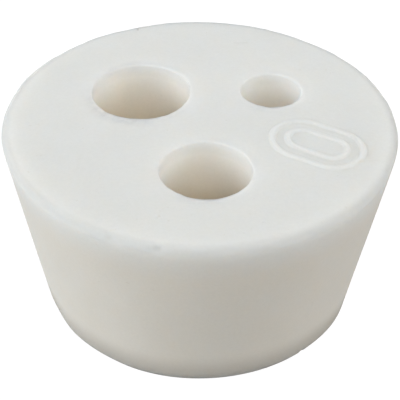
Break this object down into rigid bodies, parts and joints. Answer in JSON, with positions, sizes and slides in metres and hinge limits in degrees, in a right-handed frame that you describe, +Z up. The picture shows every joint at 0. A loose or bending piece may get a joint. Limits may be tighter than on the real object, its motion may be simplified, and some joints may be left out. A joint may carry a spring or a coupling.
{
  "type": "rubber stopper",
  "caption": "Tapered rubber stopper that plugs a flask neck, with straight bores of different size through it for glass tubing and probes.",
  "frame": {"origin": "centre of the small end's face, where the stopper stands", "axes": "+Z up along the taper's axis, from the small end to the large end; the medium bore lies towards -Y, the large bore towards -X and +Y, the small bore towards +X and +Y"},
  "size_m": [0.0498, 0.0498, 0.0254],
  "materials": {
    "rubber": "off-white moulded rubber, matt and slightly translucent"
  },
  "bodies": {
    "root": {"stopper": "rubber"}
  },
  "joints": []
}
